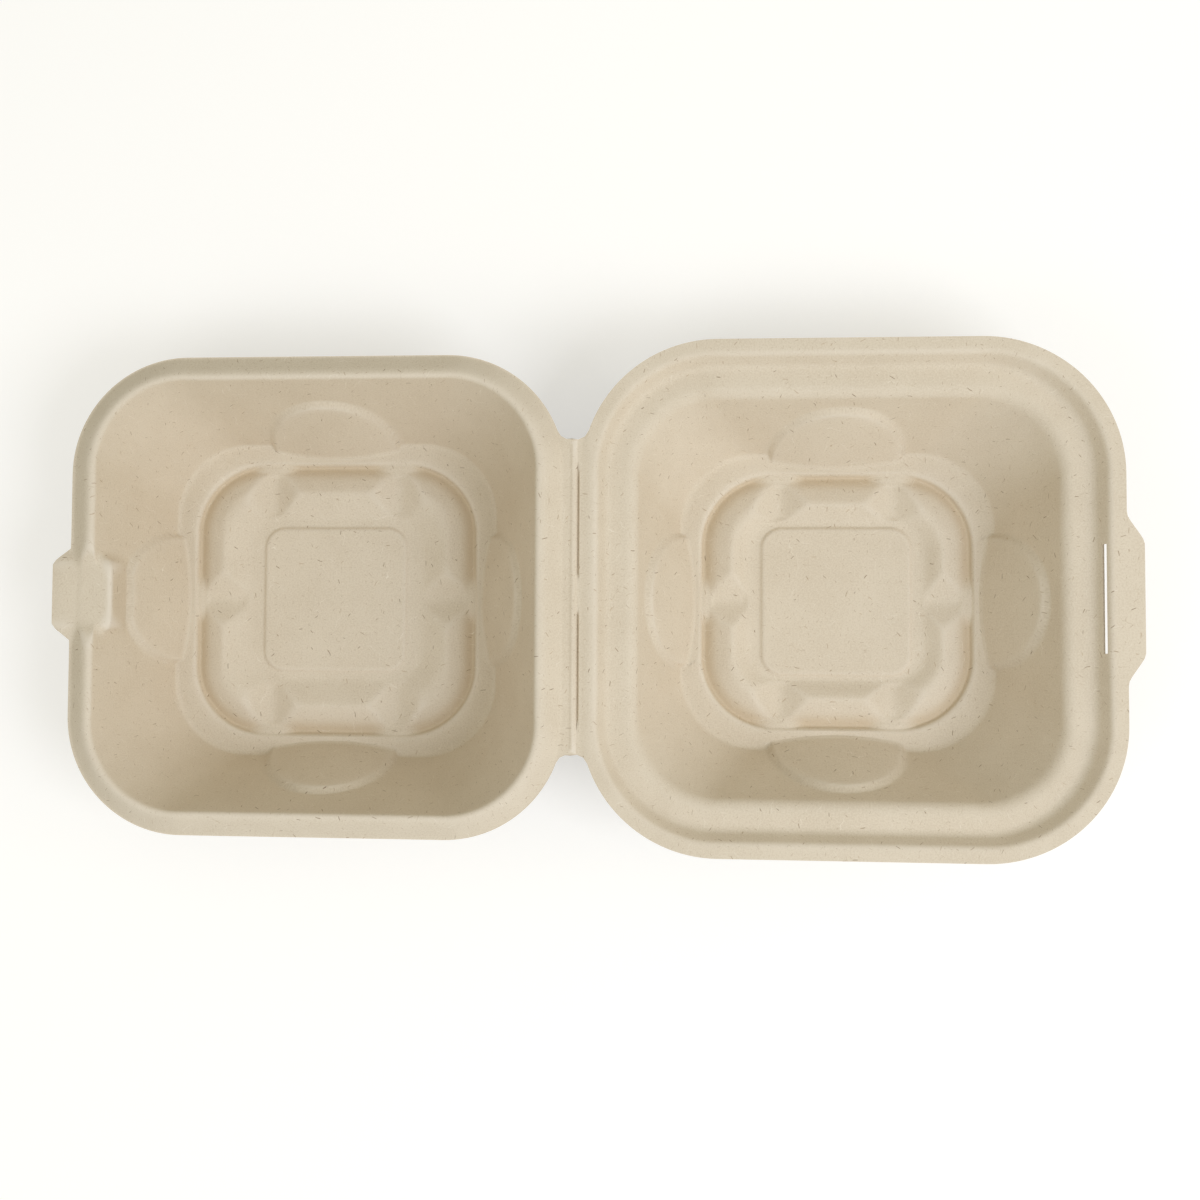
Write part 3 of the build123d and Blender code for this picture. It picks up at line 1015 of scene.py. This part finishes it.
    def press_tab(self, points: np.ndarray) -> None:
        """Press the lock tab's plate through the lip, the bead and the wall, in place.

        Args:
            points: the half's points, which are moved.
        """
        u, v, z = -points[:, 0], np.abs(points[:, 1]), points[:, 2].copy()
        tip, mouth = self.half_x + self.tab_reach, self.mouth.half_x
        beyond = soft_rise(v - self.tab_half_width, 0.8) / self.tab_flank
        plate = self.tab_height * (1 - beyond)
        plate = plate - self.tab_droop * smooth_step(u, tip - self.tab_droop_run, tip)
        trough = self.tab_height + (self.bead_height - self.tab_height) * beyond
        pressed = soft_min(soft_max(z, plate, self.tab_soft), trough, self.tab_soft)
        near = (u > mouth) & (v < self.tab_half_width + self.tab_flank + 2)
        points[:, 2] = np.where(near, pressed, z)
        slope = self.wall_run / (self.bead_height - self.relief.ring_height)
        inner = mouth - self.tab_setback
        plate_end = mouth - slope * (self.bead_height - self.tab_height)
        foot = self.bead_height - self.tab_setback / slope - 2
        path = np.array([(plate_end, self.tab_height), (inner, self.tab_height),
                         (mouth - slope * (self.bead_height - foot), foot)])
        down = (self.tab_height - z) / (self.tab_height - foot)
        length = np.linalg.norm(np.diff(path, axis=0), axis=1).sum()
        reach = self.tab_bend / length
        goal = (along_line(path, np.clip(down - reach, 0, 1)) + 2 * along_line(path, np.clip(down, 0, 1))
                + along_line(path, np.clip(down + reach, 0, 1))) / 4
        above = np.clip((z - self.tab_height) / (self.bead_height - self.tab_height), 0, 1)
        goal_u = np.where(down < 0, plate_end + (mouth - plate_end) * above, goal[:, 0])
        goal_z = np.where(down < 0, self.tab_height, goal[:, 1])
        on_wall = (u <= mouth) & (u > inner - 3) & (z < self.bead_height + 0.1) & (down < 1)
        weight = 1 - smooth_step(v, self.tab_half_width - 0.6, self.tab_half_width + self.tab_shoulder)
        points[:, 0] = np.where(on_wall, -(u + (goal_u - u) * weight), points[:, 0])
        points[:, 2] = np.where(on_wall, z + (goal_z - z) * weight, points[:, 2])

    def shape(self, points: np.ndarray) -> np.ndarray:
        """Press the tab, and the rib and scored dashes beside the crease, into the points."""
        f = self.fold
        from_crease = f.half_span - points[:, 0]
        strip = (from_crease < f.half_span - self.bead_x - 1) & (points[:, 2] < 0.5)
        rise = f.lid_rib(from_crease) - f.score(from_crease, points[:, 1])
        points[:, 2] += np.where(strip, rise, 0)
        self.press_tab(points)
        return points


class NodeTable:
    """Short calls for adding and joining the nodes of one tree."""

    def __init__(self, tree: bpy.types.NodeTree) -> None:
        """Start on an empty tree."""
        self.tree = tree
        tree.nodes.clear()

    def add(self, kind: str, **settings: object) -> bpy.types.Node:
        """Add a node and set its options."""
        node = self.tree.nodes.new(kind)
        for name, value in settings.items():
            setattr(node, name, value)
        return node

    def feed(self, target: bpy.types.NodeSocket, source: object) -> None:
        """Join a socket to a source socket, or set it to a plain value."""
        if isinstance(source, bpy.types.NodeSocket):
            self.tree.links.new(source, target)
        else:
            target.default_value = source

    def maths(self, operation: str, *values: object) -> bpy.types.NodeSocket:
        """Add a Math node with these inputs, each a socket or a number, and return its output."""
        node = self.add("ShaderNodeMath", operation=operation)
        for socket, value in zip(node.inputs, values):
            self.feed(socket, value)
        return node.outputs[0]

    def vector(self, operation: str, *values: object) -> bpy.types.NodeSocket:
        """Add a Vector Math node with these inputs and return its vector."""
        node = self.add("ShaderNodeVectorMath", operation=operation)
        for socket, value in zip(node.inputs, values):
            self.feed(socket, value)
        return node.outputs["Vector"]

    def scaled(self, vector: object, by: object) -> bpy.types.NodeSocket:
        """Scale a vector by a value."""
        node = self.add("ShaderNodeVectorMath", operation="SCALE")
        self.feed(node.inputs[0], vector)
        self.feed(node.inputs["Scale"], by)
        return node.outputs["Vector"]

    def fall(self, value: object, start: float, end: float) -> bpy.types.NodeSocket:
        """Fall smoothly from 1 where the value is start to 0 where it is end."""
        node = self.add("ShaderNodeMapRange", interpolation_type="SMOOTHSTEP")
        for name, source in (("Value", value), ("From Min", start), ("From Max", end),
                             ("To Min", 1.0), ("To Max", 0.0)):
            self.feed(node.inputs[name], source)
        return node.outputs["Result"]

    def noise(self, vector: object, scale: float, detail: float,
              roughness: float = 0.5) -> bpy.types.Node:
        """Add a flat Noise texture.

        Args:
            vector: where it is read.
            scale: features per metre.
            detail: how many finer layers it has.
            roughness: how strong those are.

        Returns:
            The node.
        """
        node = self.add("ShaderNodeTexNoise", noise_dimensions="2D")
        for name, source in (("Vector", vector), ("Scale", scale), ("Detail", detail),
                             ("Roughness", roughness)):
            self.feed(node.inputs[name], source)
        return node

    def tint(self, share: object, below: object, above: object) -> bpy.types.NodeSocket:
        """Mix two colours, with share of the second."""
        node = self.add("ShaderNodeMix", data_type="RGBA")
        self.feed(node.inputs["Factor"], share)
        self.feed(node.inputs[6], below)
        self.feed(node.inputs[7], above)
        return node.outputs[2]

    def seen(self) -> bpy.types.NodeSocket:
        """1 for rays from the camera, or seen in a gloss or through glass, and 0 for others."""
        path = self.add("ShaderNodeLightPath").outputs
        return self.maths("MAXIMUM", path["Is Camera Ray"],
                          self.maths("MAXIMUM", path["Is Glossy Ray"], path["Is Transmission Ray"]))


class FibreEffects:
    """The node groups that the fibre finishes share, each made once."""

    def __init__(self) -> None:
        """Make the groups."""
        self.marks = self.make_marks()
        self.felt = self.make_felt()

    @staticmethod
    def group(name: str, takes: dict[str, str], gives: dict[str, str]) -> bpy.types.NodeTree:
        """Make an empty group.

        Args:
            name: the group's name.
            takes: its inputs' names, with Float or Vector for each.
            gives: its outputs' names, in the same way.

        Returns:
            The group.
        """
        tree = bpy.data.node_groups.new(name, "ShaderNodeTree")
        for sockets, way in ((takes, "INPUT"), (gives, "OUTPUT")):
            for socket, kind in sockets.items():
                tree.interface.new_socket(name=socket, in_out=way, socket_type=f"NodeSocket{kind}")
        return tree

    def make_marks(self) -> bpy.types.NodeTree:
        """Scattered short strokes, such as specks of husk or stray fibres.

        Returns:
            A group that takes the pattern, a push that bends it, the room for each stroke, its
            length and width in metres, the share of rooms that hold one, how far it wanders and
            a seed, and puts out a mask and a value that differs from stroke to stroke.
        """
        takes = {"Pattern": "Vector", "Push": "Vector"}
        takes |= {name: "Float" for name in ("Room", "Length", "Width", "Share", "Wander", "Seed")}
        tree = self.group("scattered_marks", takes, {"Mask": "Float", "Tone": "Float"})
        nodes = NodeTable(tree)
        take = nodes.add("NodeGroupInput").outputs
        place = nodes.vector("ADD", take["Pattern"], nodes.scaled((1.0, 0.73, 0.0), take["Seed"]))
        place = nodes.vector("ADD", place, nodes.scaled(take["Push"], take["Wander"]))
        cells = nodes.add("ShaderNodeTexVoronoi", voronoi_dimensions="2D", feature="F1")
        nodes.feed(cells.inputs["Vector"], place)
        nodes.feed(cells.inputs["Scale"], nodes.maths("DIVIDE", 1.0, take["Room"]))
        luck = nodes.add("ShaderNodeSeparateColor")
        nodes.feed(luck.inputs[0], cells.outputs["Color"])
        turn = nodes.add("ShaderNodeVectorRotate", rotation_type="Z_AXIS")
        nodes.feed(turn.inputs["Vector"], nodes.vector("SUBTRACT", place, cells.outputs["Position"]))
        nodes.feed(turn.inputs["Angle"], nodes.maths("MULTIPLY", luck.outputs["Red"], math.tau))
        part = nodes.add("ShaderNodeSeparateXYZ")
        nodes.feed(part.inputs[0], turn.outputs[0])
        size = nodes.maths("MULTIPLY_ADD", luck.outputs["Blue"], 0.9, 0.45)
        long = nodes.maths("DIVIDE", part.outputs["X"], nodes.maths("MULTIPLY", take["Length"], size))
        wide = nodes.maths("DIVIDE", part.outputs["Y"], take["Width"])
        blunt = nodes.maths("MULTIPLY", long, long)
        across = nodes.maths("MULTIPLY", wide, wide)
        reach = nodes.maths("SQRT", nodes.maths("MULTIPLY_ADD", blunt, blunt, across))
        kept = nodes.maths("LESS_THAN", luck.outputs["Green"], take["Share"])
        give = nodes.add("NodeGroupOutput").inputs
        nodes.feed(give["Mask"], nodes.maths("MULTIPLY", nodes.fall(reach, 0.3, 0.55), kept))
        mixed = nodes.maths("MULTIPLY", luck.outputs["Green"], 37.0)
        nodes.feed(give["Tone"], nodes.maths("FRACT", mixed))
        return tree

    def make_felt(self) -> bpy.types.NodeTree:
        """The felted grain of pressed pulp.

        Returns:
            A group that takes the pattern and how fine the grain is, and puts out soft clouds,
            a fine grain and a surface height, each round 0, and a push for bending strokes.
        """
        tree = self.group("felted_grain", {"Pattern": "Vector", "Fineness": "Float"},
                          {"Clouds": "Float", "Grain": "Float", "Height": "Float", "Push": "Vector"})
        nodes = NodeTable(tree)
        take = nodes.add("NodeGroupInput").outputs
        place = nodes.scaled(take["Pattern"], take["Fineness"])
        clouds = nodes.noise(take["Pattern"], 55.0, 4.0, 0.6).outputs[0]
        bend = nodes.noise(place, 420.0, 1.0)
        grain = nodes.maths("SUBTRACT", nodes.noise(place, 1900.0, 2.0, 0.7).outputs[0], 0.5)
        dents = nodes.maths("SUBTRACT", bend.outputs[0], 0.5)
        give = nodes.add("NodeGroupOutput").inputs
        nodes.feed(give["Clouds"], nodes.maths("SUBTRACT", clouds, 0.5))
        nodes.feed(give["Grain"], grain)
        fine = nodes.maths("MULTIPLY", grain, 0.7)
        nodes.feed(give["Height"], nodes.maths("MULTIPLY_ADD", dents, 0.9, fine))
        nodes.feed(give["Push"], nodes.vector("SUBTRACT", bend.outputs["Color"], (0.5, 0.5, 0.5)))
        return tree


@dataclass(frozen=True)
class Marks:
    """One kind of scattered stroke in the pulp, with its sizes in metres and its two colours."""

    room: float
    length: float
    width: float
    share: float
    wander: float
    seed: float
    colour: tuple[float, float, float, float]
    other: tuple[float, float, float, float]
    strength: float


@dataclass(frozen=True)
class MouldedFibre:
    """Pressed, unbleached plant fibre: pale tan, matt, felted, with specks of husk and painted shade and
    highlights.
    """

    name: str
    colour: tuple[float, float, float, float]
    deep: tuple[float, float, float, float]
    fineness: float
    relief: float
    roughness: float
    marks: tuple[Marks, ...]
    # The moat and the steep walls are darkened towards a tan as painted shade, and crests are paled as a
    # painted highlight.
    moat_shade_share: float = 0.5
    wall_shade_share: float = 0.17
    painted_shade: tuple[float, float, float, float] = (0.54, 0.41, 0.25, 1)
    crest_highlight_height: float = 0.7
    crest_highlight_colour: tuple[float, float, float, float] = (0.73, 0.66, 0.56, 1)

    def make(self, effects: FibreEffects) -> bpy.types.Material:
        """Build the material.

        Args:
            effects: the shared node groups.

        Returns:
            The finished material.
        """
        material = bpy.data.materials.new(self.name)
        material.use_nodes = True
        nodes = NodeTable(material.node_tree)
        pattern = nodes.add("ShaderNodeAttribute", attribute_name="sheet").outputs["Vector"]
        felt = nodes.add("ShaderNodeGroup", node_tree=effects.felt)
        nodes.feed(felt.inputs["Pattern"], pattern)
        nodes.feed(felt.inputs["Fineness"], self.fineness)
        clouds, grain = felt.outputs["Clouds"], felt.outputs["Grain"]
        tone = nodes.maths("MULTIPLY_ADD", clouds, 1.3, nodes.maths("MULTIPLY_ADD", grain, 3.4, 0.4))
        tone = nodes.maths("MAXIMUM", nodes.maths("MINIMUM", tone, 1.0), 0.0)
        ridge, recess, steep = (nodes.add("ShaderNodeAttribute", attribute_name=name).outputs["Fac"]
                                for name in ("ridge", "recess", "steep"))
        colour = nodes.tint(tone, self.colour, self.deep)
        # Painted shade in the moat: the deeper a point lies, the browner it is painted.
        moat_shade = nodes.maths("MULTIPLY", recess, self.moat_shade_share)
        # Painted shade on the steep walls, added to the painted shade in the moat.
        painted_shade = nodes.maths("MULTIPLY_ADD", steep, self.wall_shade_share, moat_shade)
        colour = nodes.tint(painted_shade, colour, self.painted_shade)
        # Painted highlight: crests that stand out of the sheet are paled.
        colour = nodes.tint(nodes.fall(ridge, self.crest_highlight_height, 0.0), colour, self.crest_highlight_colour)
        for mark in self.marks:
            strokes = nodes.add("ShaderNodeGroup", node_tree=effects.marks)
            nodes.feed(strokes.inputs["Pattern"], pattern)
            nodes.feed(strokes.inputs["Push"], felt.outputs["Push"])
            for name in ("room", "length", "width", "share", "wander", "seed"):
                nodes.feed(strokes.inputs[name.capitalize()], getattr(mark, name))
            share = nodes.maths("MULTIPLY", strokes.outputs["Mask"], mark.strength)
            colour = nodes.tint(share, colour, nodes.tint(strokes.outputs["Tone"], mark.colour, mark.other))
        bump = nodes.add("ShaderNodeBump")
        nodes.feed(bump.inputs["Height"], felt.outputs["Height"])
        nodes.feed(bump.inputs["Distance"], self.relief)
        nodes.feed(bump.inputs["Strength"], 1.0)
        shader = nodes.add("ShaderNodeBsdfPrincipled")
        nodes.feed(shader.inputs["Base Color"], colour)
        nodes.feed(shader.inputs["Roughness"], nodes.maths("MULTIPLY_ADD", clouds, 0.12, self.roughness))
        nodes.feed(shader.inputs["Specular IOR Level"], 0.25)
        nodes.feed(shader.inputs["Normal"], bump.outputs["Normal"])
        nodes.feed(nodes.add("ShaderNodeOutputMaterial").inputs["Surface"], shader.outputs[0])
        return material


HUSK = Marks(room=0.0056, length=0.0011, width=0.00026, share=0.5, wander=0.0006, seed=0.11,
             colour=(0.17, 0.095, 0.04, 1), other=(0.50, 0.38, 0.25, 1), strength=0.7)
FINE_HUSK = Marks(room=0.0024, length=0.0007, width=0.00016, share=0.5, wander=0.0005, seed=0.37,
                  colour=(0.32, 0.22, 0.13, 1), other=(0.56, 0.46, 0.33, 1), strength=0.6)
FIBRES = Marks(room=0.0040, length=0.0038, width=0.00013, share=0.8, wander=0.0018, seed=0.71,
               colour=(0.50, 0.41, 0.29, 1), other=(0.86, 0.80, 0.70, 1), strength=0.55)

PRESSED_FACE = MouldedFibre(
    name="moulded_fibre_inside", colour=(0.692, 0.614, 0.497, 1), deep=(0.626, 0.544, 0.428, 1),
    fineness=1.0, relief=0.00008, roughness=0.86, marks=(FIBRES, FINE_HUSK, HUSK),
)
SCREEN_FACE = MouldedFibre(
    name="moulded_fibre_outside", colour=(0.692, 0.614, 0.497, 1), deep=(0.606, 0.522, 0.405, 1),
    fineness=0.8, relief=0.00014, roughness=0.9, marks=(FIBRES, FINE_HUSK, HUSK),
)


@dataclass(frozen=True)
class Lamp:
    """One soft rectangular lamp, with its place in metres."""

    name: str
    place: tuple[float, float, float]
    size: tuple[float, float]
    power: float
    colour: tuple[float, float, float]
    aim: tuple[float, float, float] = (0.0, 0.0, 0.01)

    def make(self) -> bpy.types.Object:
        """Hang the lamp and aim it at the box."""
        light = bpy.data.lights.new(self.name, "AREA")
        light.shape = "RECTANGLE"
        light.size, light.size_y = self.size
        light.energy = self.power
        light.color = self.colour
        lamp = bpy.data.objects.new(self.name, light)
        lamp.location = self.place
        lamp.rotation_euler = (Vector(self.aim) - Vector(self.place)).to_track_quat("-Z", "Y").to_euler()
        bpy.context.scene.collection.objects.link(lamp)
        return lamp


@dataclass(frozen=True)
class Studio:
    """A pale table top, soft light that is stronger from the right, and the camera above."""

    floor_size: float = 6.0
    floor_colour: tuple[float, float, float, float] = (0.56, 0.55, 0.525, 1.0)
    floor_glow: float = 0.50
    room_light: float = 0.53
    room_colour: tuple[float, float, float, float] = (1.0, 0.98, 0.83, 1.0)
    camera_place: tuple[float, float, float] = (0.01850, -0.01897, 0.51351)
    camera_turn: tuple[float, float, float] = (2.89, 5.42, 0.45)
    lens: float = 48.456
    shift: tuple[float, float] = (0.0902, -0.0170)
    lamps: tuple[Lamp, ...] = (
        Lamp("key", (0.61, -0.35, 0.84), (0.5, 0.5), 5.0, (0.95, 1.0, 1.14)),
        Lamp("front_left", (-0.50, -0.50, 0.84), (0.5, 0.5), 1.7, (1.0, 1.0, 1.05)),
        Lamp("low_right", (0.95, 0.0, 0.55), (0.5, 0.5), 1.2, (1.15, 1.0, 0.78)),
        Lamp("low_back", (-0.36, 0.88, 0.55), (0.5, 0.5), 0.2, (1.15, 1.0, 0.78)),
    )

    def make_room(self) -> None:
        """Light the room evenly, with white for what the camera sees of it."""
        world = bpy.data.worlds.new("room")
        world.use_nodes = True
        nodes = NodeTable(world.node_tree)
        light, seen = nodes.add("ShaderNodeBackground"), nodes.seen()
        nodes.feed(light.inputs["Color"], nodes.tint(seen, self.room_colour, (1.0, 1.0, 1.0, 1.0)))
        nodes.feed(light.inputs["Strength"],
                   nodes.maths("MULTIPLY_ADD", seen, 1.0 - self.room_light, self.room_light))
        nodes.feed(nodes.add("ShaderNodeOutputWorld").inputs["Surface"], light.outputs[0])
        bpy.context.scene.world = world

    def make_floor(self) -> None:
        """Lay the pale table top that the box stands on, which keeps the box's shadow."""
        half = self.floor_size / 2
        mesh = bpy.data.meshes.new("table_top")
        mesh.from_pydata([(-half, -half, 0), (half, -half, 0), (half, half, 0), (-half, half, 0)], [],
                         [(0, 1, 2, 3)])
        floor = bpy.data.objects.new("table_top", mesh)
        bpy.context.scene.collection.objects.link(floor)
        material = bpy.data.materials.new("pale_table")
        material.use_nodes = True
        nodes = NodeTable(material.node_tree)
        matt = nodes.add("ShaderNodeBsdfDiffuse")
        nodes.feed(matt.inputs["Color"], self.floor_colour)
        glow = nodes.add("ShaderNodeEmission")
        nodes.feed(glow.inputs["Strength"], nodes.maths("MULTIPLY", nodes.seen(), self.floor_glow))
        both = nodes.add("ShaderNodeAddShader")
        nodes.feed(both.inputs[0], matt.outputs[0])
        nodes.feed(both.inputs[1], glow.outputs[0])
        nodes.feed(nodes.add("ShaderNodeOutputMaterial").inputs["Surface"], both.outputs[0])
        mesh.materials.append(material)

    def make_camera(self) -> None:
        """Hang the camera nearly straight above the box."""
        camera = bpy.data.objects.new("camera", bpy.data.cameras.new("camera"))
        camera.data.sensor_width = 36.0
        camera.data.lens = self.lens
        camera.data.shift_x, camera.data.shift_y = self.shift
        camera.data.clip_start = 0.01
        camera.location = self.camera_place
        camera.rotation_euler = [math.radians(a) for a in self.camera_turn]
        bpy.context.scene.collection.objects.link(camera)
        bpy.context.scene.camera = camera

    def make(self) -> None:
        """Set up floor, light and camera."""
        self.make_room()
        self.make_floor()
        for lamp in self.lamps:
            lamp.make()
        self.make_camera()
        bpy.context.scene.view_settings.view_transform = "Standard"


@dataclass
class BurgerBox:
    """The whole box: base and lid, moulded as one sheet, built as two pieces that meet at the crease."""

    base: BaseTray
    lid: Lid

    def build(self) -> list[bpy.types.Object]:
        """Build both halves, finish them and hide the CAD nodes that they stand for.

        Returns:
            The pieces of the box.
        """
        effects = FibreEffects()
        finishes = [PRESSED_FACE.make(effects), SCREEN_FACE.make(effects)]
        pieces = []
        for half, node in ((self.base, "base_tray"), (self.lid, "lid")):
            piece = half.build()
            for finish in finishes:
                piece.data.materials.append(finish)
            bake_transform(piece)
            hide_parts(node)
            LOG.info("%s stands for %s", piece.name, node)
            pieces.append(piece)
        return pieces


def design() -> BurgerBox:
    """Place the two halves where the CAD nodes stand.

    Returns:
        The box, ready to be built.
    """
    _, base_high = (np.array(c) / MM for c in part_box("base_tray"))
    lid_low, _ = (np.array(c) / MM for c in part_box("lid"))
    rim = float(base_high[2])
    base_middle = (float(base_high[0]) - BaseTray.half_x - BaseTray.flare_reach, 0.0, rim)
    lid_middle = (float(lid_low[0]) + Lid.half_x + Lid.tab_reach, 0.0, rim)
    base = BaseTray(
        name="base_shell", middle=base_middle, towards_fold=-1,
        mouth=Ring(62.4, 60.4, 24.2, -5.0, soft=2.9, cell=0.72),
        wall_run=14.5, inner_slope=4.6, scallop_height=22.6, channel_offset=17.4,
    )
    lid = Lid(
        name="lid_shell", middle=lid_middle, towards_fold=1,
        mouth=Ring(66.9, 64.9, 27.2, 4.5, soft=1.1, cell=0.75),
        wall_run=15.3, inner_slope=7.2, scallop_height=25.6, channel_offset=20.2,
    )
    return BurgerBox(base, lid)


def main() -> None:
    """Build the box, light it and log how many vertices each piece has."""
    logging.basicConfig(level=logging.INFO, format="%(message)s")
    for piece in design().build():
        LOG.info("piece %s with %d vertices", piece.name, len(piece.data.vertices))
    Studio().make()


if __name__ == "__main__":
    main()
